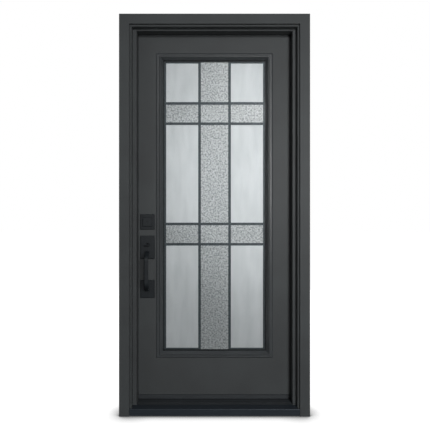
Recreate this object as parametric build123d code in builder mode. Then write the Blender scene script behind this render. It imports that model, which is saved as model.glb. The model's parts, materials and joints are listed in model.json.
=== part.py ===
from build123d import *
import os

os.makedirs("parts", exist_ok=True)

# X runs to the right seen from outside, Y into the house, Z up. The jambs' front edges lie at Y 0.

# Slab
slab_width = 857.0
slab_height = 2007.0
slab_thickness = 44.5
slab_lift = 56.0
slab_gap = 3.0
skin = 0.7
skin_return = 14.0
stile_width = 38.0
top_rail_height = 38.0
bottom_rail_height = 60.0
lock_block_width = 84.0
lock_block_height = 270.0

# Jambs
jamb_thickness = 19.0
jamb_depth = 116.0
stop_height = 12.7
jamb_reveal = 1.5
jamb_arris = 1.5
kerf_width = 3.0
kerf_depth = 9.0
anchor_hole_radius = 2.75
anchor_hole_low = 480.0
anchor_hole_drop = 286.0

# Casing
casing_width = 66.0
casing_depth = 46.0
casing_flat = 53.5
casing_ledge_drop = 9.0
casing_quirk = 4.5
casing_quirk_drop = 14.0
casing_lap = 11.5
casing_head_lap = 22.0
casing_back_relief = 3.0
casing_arris = 1.8
casing_ovolo_share = 0.75

# Sill
nose_front = 44.0
nose_top = 38.5
nose_bottom = 3.0
nose_round = 3.5
nose_wing_depth = 6.5
slope_top = 46.0
tread_top = 49.0
tread_gap = 8.0
deck_wall = 2.4
deck_leg = 15.0
tread_ribs = 4
tread_rib_height = 0.8
tread_rib_width = 3.0
tread_rib_pitch = 9.0
base_front = 36.0
cap_seat = 36.0
cap_top = 50.5
cap_bevel = 5.0
sill_fit = 0.5

# Seals
seal_gap = 10.0
seal_clear = 0.3
seal_width = 13.5
seal_round = 3.5
seal_leg = 2.4
pad_height = 45.0
pad_bevel = 3.0

# Sweep under the slab
sweep_wall = 1.5
sweep_rebate_height = 23.5
sweep_rebate_depth = 10.0
sweep_flange = 3.5
sweep_tongue = 1.0
sweep_groove = 4.5
sweep_fit = 0.3
sweep_back_rise = 12.0
fin_width = 2.0
fin_inset = 6.0
fin_clear = 0.4

# Glazing
lite_side = 108.5
lite_above = 109.0
lite_below = 224.0
lite_face = 35.0
lite_edge = 1.6
lite_bead = 9.0
lite_bead_height = 6.5
lite_quirk = 2.0
lite_quirk_floor = 3.8
lite_ridge_in = 20.5
lite_ridge_width = 2.0
lite_ridge = 13.0
lite_heel = 4.0
lite_seat = 9.5
lite_leg_out = 19.3
lite_leg_in = 28.7
lite_fit = 0.3
glass_lap = 6.0
pane_thickness = 4.0
glass_sealant = 3.0
spacer_width = 11.0
came_width = 15.0
came_depth = 6.5
came_round = 1.8
came_border = 14.0
came_bite = 3.0
art_glass = 4.0
came_fit = 0.2
border_reveal_x = 17.0
border_reveal_z = 15.0
side_column_parts = 10
centre_column_parts = 9
top_row = 221.0
band_row = 112.5
bottom_row = 573.0
clamp_screw_radius = 1.7
clamp_head_radius = 3.3
clamp_head_height = 2.4
clamp_head_seat = 5.0
clamp_screw_bite = 14.0
clamp_corner_gap = 140.0
clamp_long_count = 6
clamp_short_count = 3

# Hinges
hinge_height = 101.6
hinge_leaf = 2.4
hinge_leaf_width = 35.0
hinge_corner = 12.0
hinge_top_drop = 178.0
hinge_bottom_rise = 279.0
hinge_reach = 8.0
barrel_radius = 6.0
barrel_clear = 0.4
knuckle_gap = 0.3
knuckle_count = 5
pin_radius = 3.2
pin_clear = 0.05
pin_head_radius = 5.2
pin_head_height = 4.0
pin_tip_height = 3.0
leaf_screw_columns = (12.0, 25.0)
leaf_screw_rows = (14.0, 37.0)
leaf_screw_radius = 2.2
leaf_screw_head = 4.4
leaf_screw_head_height = 2.2
leaf_screw_length = 17.0
screw_clear = 0.12

# Lock
backset = 60.3
latch_height = 888.0
bolt_spacing = 139.7
cross_bore_radius = 27.0
edge_bore_radius = 12.7
faceplate_width = 25.4
faceplate_height = 57.0
faceplate_thickness = 2.2
faceplate_corner = 5.0
faceplate_screw_step = 21.5
faceplate_screw_radius = 1.9
faceplate_screw_head = 3.6
faceplate_screw_head_height = 1.9
faceplate_screw_length = 18.0
case_radius = 12.0
case_length = 76.0
case_bore_radius = 8.25
case_window_radius = 6.5
bolt_radius = 8.0
bolt_length = 52.0
bolt_inset = 0.4
bolt_chamfer = 1.0
latch_length = 53.0
latch_throw = 12.0
latch_slope_start = 5.5
strike_width = 28.0
strike_thickness = 2.0
strike_lip_height = 32.0
strike_lip_reach = 4.0
strike_hole_width = 18.0
strike_hole_height = 25.0
strike_screw_step = 20.6

# Lock furniture
plate_width = 78.0
plate_thickness = 9.0
plate_chamfer = 2.0
plate_boss_radius = 24.0
plate_boss_depth = 9.0
deadbolt_plate_height = 84.0
deadbolt_block = 52.0
deadbolt_block_rise = 6.0
handle_plate_height = 127.0
grip_plate_height = 98.0
grip_plate_drop = 229.0
plug_radius = 6.4
plug_clear = 0.08
plug_proud = 0.3
keyway_width = 1.8
keyway_height = 8.0
keyway_depth = 22.0
rose_width = 66.0
rose_thickness = 9.0
rose_hole_radius = 10.2
hub_radius = 9.8
hub_clear = 0.3
turn_length = 36.0
turn_width = 13.0
turn_reach = 17.0
blade_height = 8.0
blade_width = 2.4
blade_gap = 1.0
lever_stand = 42.0
lever_length = 118.0
lever_height = 19.0
lever_thickness = 11.0
lever_edge = 2.5
spindle = 7.6
spindle_end = 4.0
rose_screw_step = 17.0
rose_screw_shift = 12.0
rose_screw_radius = 2.0
rose_screw_head = 3.6
rose_screw_head_height = 2.0
rose_screw_bite = 6.0
grip_width = 21.0
grip_thickness = 12.0
grip_edge = 3.0
grip_reach = 51.0
grip_foot = 12.0
grip_top_drop = 26.0
grip_length = 207.0
grip_shoulder = 30.0
grip_bend = 26.0
grip_foot_bend = 11.0
grip_bolt_radius = 3.0
grip_bolt_head = 8.0
grip_bolt_head_height = 4.0
grip_bolt_bite = 5.0
thumb_rise = 14.0
thumb_width = 26.0
thumb_reach = 33.0
thumb_root_gap = 1.6
thumb_thickness = 5.0
thumb_stem = 11.0
thumb_stem_height = 5.0
thumb_tail = 8.0
thumb_slot_width = 12.0
thumb_slot_height = 15.0
thumb_sag = 3.0

# Cuts run this far past the face they leave.
overrun = 5.0

# Derived places
slab_x = slab_width / 2
slab_top = slab_lift + slab_height
stop_depth = jamb_depth - jamb_reveal - slab_thickness - seal_gap
slab_front = stop_depth + seal_gap
slab_back = slab_front + slab_thickness
slab_mid = slab_front + slab_thickness / 2
rabbet_x = slab_x + slab_gap
stop_x = rabbet_x - stop_height
jamb_x = rabbet_x + jamb_thickness
head_rabbet = slab_top + slab_gap
head_stop = head_rabbet - stop_height
head_top = head_rabbet + jamb_thickness
tread_rear = stop_depth - tread_gap
casing_in = jamb_x - casing_lap
casing_out = casing_in + casing_width
casing_head_in = head_top - casing_head_lap
casing_head_out = casing_head_in + casing_width
casing_ovolo = (casing_width - casing_flat - casing_quirk) * casing_ovolo_share
ledge_x = casing_out - casing_flat - casing_quirk
ledge_z = casing_head_out - casing_flat - casing_quirk
core_x = slab_x - skin
core_front = slab_front + skin
core_back = slab_back - skin
core_depth = core_back - core_front
core_inner_x = core_x - stile_width
lock_x = backset - slab_x
deadbolt_height = latch_height + bolt_spacing
grip_top = latch_height - grip_top_drop
grip_bottom = grip_top - grip_length
grip_plate_centre = latch_height - grip_plate_drop
rebate_back = slab_front + sweep_rebate_depth
rebate_top = slab_lift + sweep_rebate_height
lite_width = slab_width - 2 * lite_side
lite_height = slab_height - lite_above - lite_below
lite_centre = slab_lift + lite_below + lite_height / 2
lite_half_x = lite_width / 2
lite_half_z = lite_height / 2
cutout_x = lite_width - 2 * lite_leg_out + 2 * lite_fit
cutout_z = lite_height - 2 * lite_leg_out + 2 * lite_fit
sight_x = lite_half_x - lite_face
sight_z = lite_half_z - lite_face
border_inner_x = sight_x - border_reveal_x
border_inner_z = sight_z - border_reveal_z
came_x = border_inner_x * centre_column_parts / (2 * side_column_parts + centre_column_parts)
came_heights = (
    border_inner_z - top_row,
    border_inner_z - top_row - band_row,
    bottom_row + band_row - border_inner_z,
    bottom_row - border_inner_z,
)
glass_x = 2 * (sight_x + glass_lap)
glass_z = 2 * (sight_z + glass_lap)
outer_glass = slab_front + lite_seat
inner_glass = slab_back - lite_seat
spacer_depth = (inner_glass - outer_glass - 2 * pane_thickness - came_depth) / 2
hinge_x = slab_x + slab_gap / 2
hinge_y = slab_back + hinge_reach
knuckle = hinge_height / knuckle_count
hinge_heights = {
    "top": slab_top - hinge_top_drop - hinge_height / 2,
    "bottom": slab_lift + hinge_bottom_rise + hinge_height / 2,
}
hinge_heights["middle"] = (hinge_heights["top"] + hinge_heights["bottom"]) / 2
lock_heights = (latch_height, deadbolt_height)
plate_front = slab_front - plate_thickness
rose_back = slab_back + rose_thickness


def turned_screw(head, head_height, shank, length):
    with BuildPart() as screw:
        with BuildSketch(Plane.XZ):
            with BuildLine():
                Polyline(
                    (0, 0),
                    (head, 0),
                    (shank, -head_height),
                    (shank, -length),
                    (0, -length),
                    close=True,
                )
            make_face()
        revolve(axis=Axis.Z)
    return screw.part


def facing_x(x, y, z, way):
    return Plane(origin=(x, y, z), x_dir=(0, 1, 0), z_dir=(way, 0, 0))


def facing_y(x, y, z, way):
    return Plane(origin=(x, y, z), x_dir=(1, 0, 0), z_dir=(0, way, 0))


# Places of the screws, each with its head outward
strike_screw_spots = [
    facing_x(-rabbet_x, slab_mid, height + side * strike_screw_step, 1).location
    for height in lock_heights
    for side in (-1, 1)
]
faceplate_screw_spots = [
    facing_x(-slab_x, slab_mid, height + side * faceplate_screw_step, -1).location
    for height in lock_heights
    for side in (-1, 1)
]
door_leaf_spots = []
frame_leaf_spots = []
for height in hinge_heights.values():
    for column, row in zip(leaf_screw_columns, leaf_screw_rows):
        for side in (-1, 1):
            y = slab_back - column
            z = height + side * row
            door_leaf_spots.append(facing_x(slab_x, y, z, 1).location)
            frame_leaf_spots.append(facing_x(rabbet_x, y, z, -1).location)
rose_screw_spots = [
    facing_y(
        lock_x + side * rose_screw_shift, rose_back, height + side * rose_screw_step, 1
    ).location
    for height in lock_heights
    for side in (-1, 1)
]
clamp_run = lite_half_x - (lite_leg_out + lite_leg_in) / 2
clamp_rise = lite_half_z - (lite_leg_out + lite_leg_in) / 2
clamp_long_pitch = 2 * (lite_half_z - clamp_corner_gap) / (clamp_long_count - 1)
clamp_short_pitch = 2 * (lite_half_x - clamp_corner_gap) / (clamp_short_count - 1)
clamp_points = [
    (side * clamp_run, lite_centre + (count - (clamp_long_count - 1) / 2) * clamp_long_pitch)
    for side in (-1, 1)
    for count in range(clamp_long_count)
]
clamp_points += [
    ((count - (clamp_short_count - 1) / 2) * clamp_short_pitch, lite_centre + end * clamp_rise)
    for end in (-1, 1)
    for count in range(clamp_short_count)
]
clamp_spots = [facing_y(x, slab_back + clamp_head_seat, z, 1).location for x, z in clamp_points]

leaf_screw = turned_screw(
    leaf_screw_head, leaf_screw_head_height, leaf_screw_radius, leaf_screw_length
)
leaf_screw_hole = turned_screw(
    leaf_screw_head + screw_clear,
    leaf_screw_head_height,
    leaf_screw_radius + screw_clear,
    leaf_screw_length + screw_clear,
)
small_screw = turned_screw(
    faceplate_screw_head,
    faceplate_screw_head_height,
    faceplate_screw_radius,
    faceplate_screw_length,
)
small_screw_hole = turned_screw(
    faceplate_screw_head + screw_clear,
    faceplate_screw_head_height,
    faceplate_screw_radius + screw_clear,
    faceplate_screw_length + screw_clear,
)
rose_screw_length = rose_thickness + slab_thickness - plate_boss_depth + rose_screw_bite
rose_screw = turned_screw(
    rose_screw_head, rose_screw_head_height, rose_screw_radius, rose_screw_length
)
rose_screw_hole = turned_screw(
    rose_screw_head + screw_clear,
    rose_screw_head_height,
    rose_screw_radius + screw_clear,
    rose_screw_length + screw_clear,
)

# Outlines of the hinge leaves' mortises, seen along X
with BuildSketch(facing_x(slab_x, 0, 0, 1)) as door_mortises:
    for height in hinge_heights.values():
        with Locations((slab_back - hinge_leaf_width / 2, height)):
            Rectangle(hinge_leaf_width, hinge_height)
    inner_corners = door_mortises.vertices().filter_by_position(
        Axis.X, slab_back - hinge_leaf_width - slab_gap, slab_back - hinge_leaf_width + slab_gap
    )
    fillet(inner_corners, radius=hinge_corner)
with BuildSketch(facing_x(rabbet_x, 0, 0, 1)) as frame_mortises:
    for height in hinge_heights.values():
        with Locations(((slab_back - hinge_leaf_width + jamb_depth) / 2, height)):
            Rectangle(jamb_depth - slab_back + hinge_leaf_width, hinge_height)
    inner_corners = frame_mortises.vertices().filter_by_position(
        Axis.X, slab_back - hinge_leaf_width - slab_gap, slab_back - hinge_leaf_width + slab_gap
    )
    fillet(inner_corners, radius=hinge_corner)

# Outlines of the faceplates and the strikes
with BuildSketch(facing_x(-slab_x, 0, 0, 1)) as faceplate_outlines:
    for height in lock_heights:
        with Locations((slab_mid, height)):
            RectangleRounded(faceplate_width, faceplate_height, faceplate_corner)
with BuildSketch(facing_x(-rabbet_x, 0, 0, 1)) as strike_outlines:
    for height in lock_heights:
        with Locations((slab_mid, height)):
            RectangleRounded(strike_width, faceplate_height, faceplate_corner)
with BuildSketch(facing_x(-rabbet_x, 0, 0, 1)) as strike_holes:
    for height in lock_heights:
        with Locations((slab_mid, height)):
            Rectangle(strike_hole_width, strike_hole_height)
with BuildSketch(facing_x(-rabbet_x, 0, 0, 1)) as strike_lip_outline:
    with Locations(((slab_mid + jamb_depth) / 2, latch_height)):
        Rectangle(jamb_depth - slab_mid, strike_lip_height)

# Bores for the lock through the slab's faces and its edge
with BuildSketch(facing_y(0, slab_front, 0, -1)) as cross_bores:
    with Locations((lock_x, latch_height), (lock_x, deadbolt_height)):
        Circle(cross_bore_radius)
with BuildSketch(facing_y(0, slab_front, 0, -1)) as grip_bore:
    with Locations((lock_x, grip_plate_centre)):
        Circle(grip_bolt_radius + screw_clear)
with BuildSketch(facing_x(-slab_x, 0, 0, -1)) as edge_bores:
    with Locations((slab_mid, -latch_height), (slab_mid, -deadbolt_height)):
        Circle(edge_bore_radius)
with BuildSketch(facing_y(0, slab_front, 0, -1)) as lite_cutout:
    with Locations((0, lite_centre)):
        Rectangle(cutout_x, cutout_z)

# Jambs
jamb_names = {-1: "strike_jamb", 1: "hinge_jamb"}
for side, name in jamb_names.items():
    with BuildPart() as jamb:
        with BuildSketch() as section:
            with BuildLine():
                Polyline(
                    (side * jamb_x, 0),
                    (side * stop_x, 0),
                    (side * stop_x, stop_depth),
                    (side * (rabbet_x - kerf_width), stop_depth),
                    (side * (rabbet_x - kerf_width), stop_depth - kerf_depth),
                    (side * rabbet_x, stop_depth - kerf_depth),
                    (side * rabbet_x, jamb_depth),
                    (side * jamb_x, jamb_depth),
                    close=True,
                )
            make_face()
            fillet(section.vertices().sort_by_distance((side * stop_x, 0))[:1], radius=jamb_arris)
        extrude(amount=head_rabbet)
        with BuildSketch(facing_x(side * (jamb_x + overrun), 0, 0, 1)):
            for rise in (anchor_hole_low, head_rabbet - anchor_hole_drop):
                with Locations((stop_depth + seal_gap / 2, rise)):
                    Circle(anchor_hole_radius)
        extrude(amount=-side * (jamb_thickness + 2 * overrun), mode=Mode.SUBTRACT)
        if side > 0:
            extrude(frame_mortises.sketch, amount=hinge_leaf, mode=Mode.SUBTRACT)
            with Locations(*frame_leaf_spots):
                add(leaf_screw_hole, mode=Mode.SUBTRACT)
        else:
            extrude(strike_outlines.sketch, amount=-strike_thickness, mode=Mode.SUBTRACT)
            extrude(strike_lip_outline.sketch, amount=-strike_thickness, mode=Mode.SUBTRACT)
            extrude(strike_holes.sketch, amount=-jamb_thickness - overrun, mode=Mode.SUBTRACT)
            with Locations(*strike_screw_spots):
                add(small_screw_hole, mode=Mode.SUBTRACT)
    jamb.part.label = name
    export_step(jamb.part, f"parts/{name}.step")

with BuildPart() as head_jamb:
    with BuildSketch(Plane.YZ):
        with BuildLine():
            Polyline(
                (0, head_rabbet), (jamb_depth, head_rabbet), (jamb_depth, head_top), (0, head_top), close=True
            )
        make_face()
    extrude(amount=jamb_x, both=True)
    with BuildSketch(Plane.YZ) as section:
        with BuildLine():
            Polyline(
                (0, head_stop),
                (stop_depth, head_stop),
                (stop_depth, head_rabbet - kerf_width),
                (stop_depth - kerf_depth, head_rabbet - kerf_width),
                (stop_depth - kerf_depth, head_rabbet),
                (0, head_rabbet),
                close=True,
            )
        make_face()
        fillet(section.vertices().sort_by_distance((0, head_stop))[:1], radius=jamb_arris)
    extrude(amount=stop_x, both=True)
head_jamb.part.label = "head_jamb"
export_step(head_jamb.part, "parts/head_jamb.step")

# Casing, mitred at the top
casing_names = {-1: "casing_left", 1: "casing_right"}
for side, name in casing_names.items():
    with BuildPart() as leg:
        with BuildSketch() as section:
            with BuildLine():
                Polyline(
                    (side * casing_out, -casing_back_relief),
                    (side * casing_out, -casing_depth),
                    (side * (casing_out - casing_flat), -casing_depth),
                    (side * (casing_out - casing_flat), casing_quirk_drop - casing_depth),
                    (side * ledge_x, casing_quirk_drop - casing_depth),
                    (side * ledge_x, casing_ledge_drop - casing_depth),
                    (side * casing_in, casing_ledge_drop - casing_depth),
                    (side * casing_in, 0),
                    (side * jamb_x, 0),
                    (side * jamb_x, -casing_back_relief),
                    close=True,
                )
            make_face()
            ledge_corner = (side * casing_in, casing_ledge_drop - casing_depth)
            fronts = section.vertices().sort_by(Axis.Y)[:4]
            fillet(fronts.sort_by_distance(ledge_corner)[1:], radius=casing_arris)
            fillet(section.vertices().sort_by_distance(ledge_corner)[:1], radius=casing_ovolo)
        extrude(amount=casing_head_out)
        with BuildSketch(facing_y(0, -casing_depth - overrun, 0, -1)):
            with BuildLine():
                Polyline(
                    (side * (casing_out + overrun), casing_head_out + overrun),
                    (side * (casing_in - overrun), casing_head_in - overrun),
                    (side * (casing_in - overrun), casing_head_out + overrun),
                    close=True,
                )
            make_face()
        extrude(amount=-casing_depth - 2 * overrun, mode=Mode.SUBTRACT)
    leg.part.label = name
    export_step(leg.part, f"parts/{name}.step")

with BuildPart() as casing_head:
    with BuildSketch(Plane.YZ) as section:
        with BuildLine():
            Polyline(
                (-casing_back_relief, casing_head_out),
                (-casing_depth, casing_head_out),
                (-casing_depth, casing_head_out - casing_flat),
                (casing_quirk_drop - casing_depth, casing_head_out - casing_flat),
                (casing_quirk_drop - casing_depth, ledge_z),
                (casing_ledge_drop - casing_depth, ledge_z),
                (casing_ledge_drop - casing_depth, casing_head_in),
                (0, casing_head_in),
                (0, head_top),
                (-casing_back_relief, head_top),
                close=True,
            )
        make_face()
        ledge_corner = (casing_ledge_drop - casing_depth, casing_head_in)
        fronts = section.vertices().sort_by(Axis.X)[:4]
        fillet(fronts.sort_by_distance(ledge_corner)[1:], radius=casing_arris)
        fillet(section.vertices().sort_by_distance(ledge_corner)[:1], radius=casing_ovolo)
    extrude(amount=casing_out, both=True)
    with BuildSketch(facing_y(0, -casing_depth - overrun, 0, -1)):
        for side in (-1, 1):
            with BuildLine():
                Polyline(
                    (side * (casing_out + overrun), casing_head_out + overrun),
                    (side * (casing_in - overrun), casing_head_in - overrun),
                    (side * (casing_out + overrun), casing_head_in - overrun),
                    close=True,
                )
            make_face()
    extrude(amount=-casing_depth - 2 * overrun, mode=Mode.SUBTRACT)
casing_head.part.label = "casing_head"
export_step(casing_head.part, "parts/casing_head.step")

# Sill: composite base, aluminium deck, threshold cap
slope = (slope_top - nose_top) / nose_front
base_edge_top = slope_top - slope * base_front - deck_wall
deck_heel = slope_top - slope * deck_wall - deck_wall
with BuildSketch(Plane.XY) as sill_plan:
    with BuildLine():
        Polyline(
            (0, -nose_front - overrun),
            (jamb_x, -nose_front - overrun),
            (jamb_x, nose_wing_depth - nose_front),
            (casing_in - sill_fit, nose_wing_depth - nose_front),
            (casing_in - sill_fit, -sill_fit),
            (stop_x - sill_fit, -sill_fit),
            (stop_x - sill_fit, stop_depth),
            (rabbet_x, stop_depth),
            (rabbet_x, jamb_depth),
            (0, jamb_depth),
            close=True,
        )
    make_face()
    mirror(about=Plane.YZ)

with BuildPart() as sill_base:
    with BuildSketch(Plane.YZ):
        with BuildLine():
            Polyline(
                (-base_front, 0),
                (-base_front, base_edge_top),
                (-deck_wall, deck_heel),
                (-deck_wall, slope_top - deck_leg),
                (0, slope_top - deck_leg),
                (0, cap_seat),
                (jamb_depth, cap_seat),
                (jamb_depth, 0),
                close=True,
            )
        make_face()
    extrude(amount=jamb_x, both=True)
    extrude(sill_plan.sketch, amount=cap_top, mode=Mode.INTERSECT)
sill_base.part.label = "sill_base"
export_step(sill_base.part, "parts/sill_base.step")

with BuildPart() as sill_deck:
    with BuildSketch(Plane.YZ) as section:
        with BuildLine():
            Polyline(
                (-nose_front, nose_bottom),
                (-nose_front, nose_top),
                (0, slope_top),
                (0, slope_top - deck_leg),
                (-deck_wall, slope_top - deck_leg),
                (-deck_wall, deck_heel),
                (deck_wall - nose_front, nose_top - deck_wall + slope * deck_wall),
                (deck_wall - nose_front, nose_bottom),
                close=True,
            )
        make_face()
        fillet(section.vertices().sort_by_distance((-nose_front, nose_top))[:1], radius=nose_round)
    extrude(amount=jamb_x, both=True)
    extrude(sill_plan.sketch, amount=cap_top, mode=Mode.INTERSECT)
sill_deck.part.label = "sill_deck"
export_step(sill_deck.part, "parts/sill_deck.step")

with BuildPart() as threshold_cap:
    with BuildSketch(Plane.YZ):
        with BuildLine():
            Polyline(
                (0, cap_seat),
                (0, slope_top),
                (tread_rear, tread_top),
                (tread_rear + cap_bevel, cap_top),
                (jamb_depth - 2 * cap_bevel, cap_top),
                (jamb_depth, cap_top - cap_bevel),
                (jamb_depth, cap_seat),
                close=True,
            )
        make_face()
        tread_slope = (tread_top - slope_top) / tread_rear
        for count in range(1, tread_ribs + 1):
            run = count * tread_rib_pitch
            with Locations((run, slope_top + run * tread_slope)):
                Rectangle(tread_rib_width, 2 * tread_rib_height)
    extrude(amount=rabbet_x, both=True)
    extrude(sill_plan.sketch, amount=cap_top + overrun, mode=Mode.INTERSECT)
threshold_cap.part.label = "threshold_cap"
export_step(threshold_cap.part, "parts/threshold_cap.step")

# Seals in the jambs' kerfs
seal_names = {-1: "seal_strike_side", 1: "seal_hinge_side"}
seal_front = slab_front - seal_clear
seal_depth = seal_front - stop_depth
leg_centre = stop_depth - kerf_depth / 2 + seal_clear / 2
for side, name in seal_names.items():
    with BuildPart() as seal:
        with BuildSketch(Plane.XY.offset(cap_top + pad_height)) as section:
            with Locations((side * (rabbet_x - seal_width / 2), stop_depth + seal_depth / 2)):
                Rectangle(seal_width, seal_depth)
            rounded = section.vertices().sort_by(Axis.X)
            fillet(rounded[:2] if side > 0 else rounded[2:], radius=seal_round)
            with Locations((side * (rabbet_x - kerf_width / 2), leg_centre)):
                Rectangle(seal_leg, kerf_depth - seal_clear)
        extrude(amount=head_rabbet - cap_top - pad_height)
    seal.part.label = name
    export_step(seal.part, f"parts/{name}.step")

with BuildPart() as seal_head:
    with BuildSketch(Plane.YZ) as section:
        with Locations((stop_depth + seal_depth / 2, head_rabbet - seal_width / 2)):
            Rectangle(seal_depth, seal_width)
        fillet(section.vertices().sort_by(Axis.Y)[:2], radius=seal_round)
        with Locations((leg_centre, head_rabbet - kerf_width / 2)):
            Rectangle(kerf_depth - seal_clear, seal_leg)
    extrude(amount=rabbet_x - seal_width, both=True)
seal_head.part.label = "seal_head"
export_step(seal_head.part, "parts/seal_head.step")

with BuildPart() as corner_pads:
    for side in (-1, 1):
        with BuildSketch(Plane.XY.offset(cap_top)):
            with Locations((side * (rabbet_x - seal_width / 2), stop_depth + seal_depth / 2)):
                Rectangle(seal_width, seal_depth)
        extrude(amount=pad_height)
    pad_edges = corner_pads.edges().filter_by(Axis.Z).group_by(Axis.Y)[-1]
    chamfer(pad_edges.filter_by_position(Axis.X, seal_width - stop_x, stop_x + seal_width), length=pad_bevel)
corner_pads.part.label = "corner_pads"
export_step(corner_pads.part, "parts/corner_pads.step")

# Strikes
with BuildPart() as latch_strike:
    extrude(strike_outlines.sketch, amount=-strike_thickness)
    with BuildSketch(Plane.XY.offset(latch_height - strike_lip_height / 2)):
        with BuildLine():
            lip_centre = (-rabbet_x - strike_thickness - strike_lip_reach, jamb_depth)
            outer_bend = strike_lip_reach + strike_thickness
            Line((-rabbet_x, slab_mid), (-rabbet_x, jamb_depth))
            CenterArc(lip_centre, outer_bend, 0, 90)
            Line(
                (lip_centre[0], jamb_depth + outer_bend),
                (lip_centre[0], jamb_depth + strike_lip_reach),
            )
            CenterArc(lip_centre, strike_lip_reach, 0, 90)
            Line((-rabbet_x - strike_thickness, jamb_depth), (-rabbet_x - strike_thickness, slab_mid))
            Line((-rabbet_x - strike_thickness, slab_mid), (-rabbet_x, slab_mid))
        make_face()
    extrude(amount=strike_lip_height)
    with BuildSketch(facing_x(0, 0, deadbolt_height, 1)):
        with Locations((slab_mid, 0)):
            Rectangle(2 * strike_width, 2 * strike_width + overrun)
    extrude(amount=-jamb_x, mode=Mode.SUBTRACT)
    extrude(strike_holes.sketch, amount=-strike_thickness - overrun, mode=Mode.SUBTRACT)
    with Locations(*strike_screw_spots):
        add(small_screw_hole, mode=Mode.SUBTRACT)
latch_strike.part.label = "latch_strike"
export_step(latch_strike.part, "parts/latch_strike.step")

with BuildPart() as deadbolt_strike:
    with BuildSketch(facing_x(-rabbet_x, slab_mid, deadbolt_height, 1)):
        RectangleRounded(strike_width, faceplate_height, faceplate_corner)
        Rectangle(strike_hole_width, strike_hole_height, mode=Mode.SUBTRACT)
    extrude(amount=-strike_thickness)
    with Locations(*strike_screw_spots):
        add(small_screw_hole, mode=Mode.SUBTRACT)
deadbolt_strike.part.label = "deadbolt_strike"
export_step(deadbolt_strike.part, "parts/deadbolt_strike.step")

with BuildPart() as strike_screws:
    with Locations(*strike_screw_spots):
        add(small_screw)
strike_screws.part.label = "strike_screws"
export_step(strike_screws.part, "parts/strike_screws.step")

# Hinges
for place, height in hinge_heights.items():
    for body, face_x, far_y, way, first in (
        ("frame", rabbet_x, slab_back - hinge_leaf_width, 1, 0),
        ("door", slab_x, slab_back - hinge_leaf_width, -1, 1),
    ):
        own = [height + (count - 2) * knuckle for count in range(first, knuckle_count, 2)]
        other = [height + (count - 2) * knuckle for count in range(1 - first, knuckle_count, 2)]
        with BuildPart() as leaf:
            with BuildSketch(facing_x(face_x, 0, 0, 1)) as outline:
                with Locations(((far_y + hinge_y) / 2, height)):
                    Rectangle(hinge_y - far_y, hinge_height)
                fillet(outline.vertices().sort_by(Axis.X)[:2], radius=hinge_corner)
            extrude(amount=way * hinge_leaf)
            with Locations(*[(hinge_x, hinge_y, z) for z in other]):
                Cylinder(barrel_radius + barrel_clear, knuckle + knuckle_gap, mode=Mode.SUBTRACT)
            with Locations(*[(hinge_x, hinge_y, z) for z in own]):
                Cylinder(barrel_radius, knuckle - knuckle_gap)
            with Locations((hinge_x, hinge_y, height)):
                Cylinder(pin_radius + pin_clear, hinge_height + 2 * overrun, mode=Mode.SUBTRACT)
            with Locations(*(frame_leaf_spots if way > 0 else door_leaf_spots)):
                add(leaf_screw_hole, mode=Mode.SUBTRACT)
        leaf.part.label = f"hinge_{place}_{body}_leaf"
        export_step(leaf.part, f"parts/hinge_{place}_{body}_leaf.step")

with BuildPart() as hinge_pins:
    for height in hinge_heights.values():
        low = -hinge_height / 2
        high = hinge_height / 2
        with BuildSketch(Plane(origin=(hinge_x, hinge_y, height), x_dir=(1, 0, 0), z_dir=(0, -1, 0))):
            with BuildLine():
                Polyline(
                    (0, low - pin_tip_height),
                    (pin_radius, low - pin_tip_height),
                    (pin_radius, high),
                    (pin_head_radius, high),
                    (pin_head_radius, high + pin_head_height / 2),
                    (pin_radius, high + pin_head_height),
                    (0, high + pin_head_height),
                    close=True,
                )
            make_face()
        revolve(axis=Axis((hinge_x, hinge_y, height), (0, 0, 1)))
hinge_pins.part.label = "hinge_pins"
export_step(hinge_pins.part, "parts/hinge_pins.step")

with BuildPart() as frame_hinge_screws:
    with Locations(*frame_leaf_spots):
        add(leaf_screw)
frame_hinge_screws.part.label = "frame_hinge_screws"
export_step(frame_hinge_screws.part, "parts/frame_hinge_screws.step")

with BuildPart() as door_hinge_screws:
    with Locations(*door_leaf_spots):
        add(leaf_screw)
door_hinge_screws.part.label = "door_hinge_screws"
export_step(door_hinge_screws.part, "parts/door_hinge_screws.step")

# Rebate for the sweep along the slab's lower front edge
with BuildSketch(Plane.YZ.offset(-slab_x - overrun)) as sweep_rebate:
    with Locations((rebate_back, rebate_top)):
        rebate_width = sweep_rebate_depth + overrun
        rebate_height = sweep_rebate_height + overrun
        Rectangle(rebate_width, rebate_height, align=(Align.MAX, Align.MAX))
rebate_length = 2 * (slab_x + overrun)

# Steel skins, folded round the slab's two long edges
through_slab = slab_thickness + overrun
for name, face_y, inward in (
    ("exterior_skin", slab_front, 1),
    ("interior_skin", slab_back, -1),
):
    with BuildPart() as panel:
        with BuildSketch(Plane.XY.offset(slab_lift)):
            with BuildLine():
                Polyline(
                    (-slab_x, face_y),
                    (slab_x, face_y),
                    (slab_x, face_y + inward * skin_return),
                    (core_x, face_y + inward * skin_return),
                    (core_x, face_y + inward * skin),
                    (-core_x, face_y + inward * skin),
                    (-core_x, face_y + inward * skin_return),
                    (-slab_x, face_y + inward * skin_return),
                    close=True,
                )
            make_face()
        extrude(amount=slab_height)
        extrude(lite_cutout.sketch, amount=-through_slab, mode=Mode.SUBTRACT)
        extrude(cross_bores.sketch, amount=-through_slab, mode=Mode.SUBTRACT)
        extrude(grip_bore.sketch, amount=-through_slab, mode=Mode.SUBTRACT)
        extrude(door_mortises.sketch, amount=-hinge_leaf, mode=Mode.SUBTRACT)
        extrude(faceplate_outlines.sketch, amount=faceplate_thickness, mode=Mode.SUBTRACT)
        extrude(sweep_rebate.sketch, amount=rebate_length, mode=Mode.SUBTRACT)
    panel.part.label = name
    export_step(panel.part, f"parts/{name}.step")

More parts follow.
